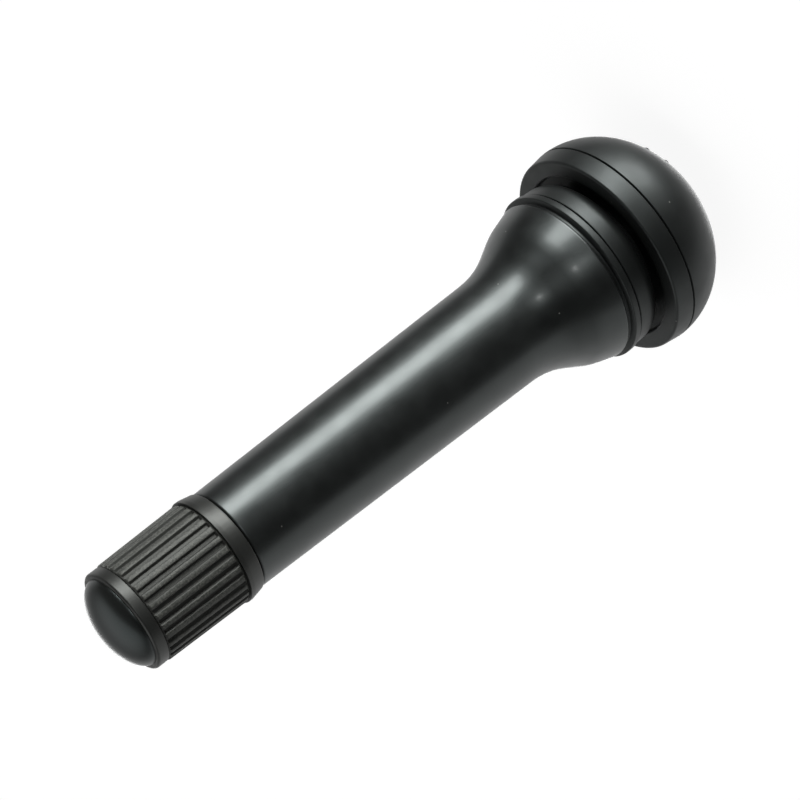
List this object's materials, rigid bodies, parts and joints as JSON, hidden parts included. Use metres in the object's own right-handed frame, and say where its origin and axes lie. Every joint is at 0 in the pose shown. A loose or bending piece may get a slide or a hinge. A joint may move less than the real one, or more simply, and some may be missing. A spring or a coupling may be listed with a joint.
{
  "type": "tyre valve",
  "caption": "Long snap-in tyre valve: rubber-covered brass stem on a round head, with a rim groove, a bulge that snaps into the rim hole and a ribbed screw-on dust cap over a sprung core.",
  "frame": {"origin": "centre of the head's flat base, the end inside the tyre, on the valve's axis", "axes": "+Z along the stem towards the dust cap; the valve is round about Z, so X and Y are free"},
  "size_m": [0.0192, 0.0192, 0.0628],
  "materials": {
    "black_rubber": "satin moulded rubber",
    "black_plastic": "satin moulded plastic",
    "brass": "turned brass",
    "spring_steel": "bright wire",
    "seal_rubber": "matt rubber",
    "gasket_plastic": "smooth pale plastic"
  },
  "bodies": {
    "root": {"rubber_body": "black_rubber", "brass_stem": "brass"},
    "core": {"core_barrel": "brass", "barrel_gasket": "gasket_plastic", "core_spring": "spring_steel"},
    "plug": {"core_plug": "brass"},
    "pin": {"core_pin": "spring_steel", "pin_cup": "brass", "cup_washer": "seal_rubber"},
    "seal": {"cap_seal": "seal_rubber"},
    "cap": {"cap": "black_plastic"}
  },
  "joints": [
    {"name": "core_lift", "type": "slide", "parent": "root", "child": "core", "axis": [0, 0, 1], "range_m": [0, 0.00141]},
    {"name": "core_turn", "type": "hinge", "parent": "core", "child": "plug", "pos_m": [0, 0, 0.0559], "axis": [0, 0, 1], "range_deg": [0, 720]},
    {"name": "pin_press", "type": "slide", "parent": "core", "child": "pin", "axis": [0, 0, -1], "range_m": [0, 0.001], "stiffness_N_per_m": 1000, "deforming": ["core_spring"]},
    {"name": "cap_lift", "type": "slide", "parent": "root", "child": "seal", "axis": [0, 0, 1], "range_m": [0, 0.01111]},
    {"name": "cap_turn", "type": "hinge", "parent": "seal", "child": "cap", "pos_m": [0, 0, 0.0595], "axis": [0, 0, 1], "range_deg": [0, 5040]}
  ],
  "couplings": [
    {"joint": "core_turn", "follows": "core_lift", "rad_per_m": 8905.3},
    {"joint": "cap_turn", "follows": "cap_lift", "rad_per_m": 7915.8}
  ]
}
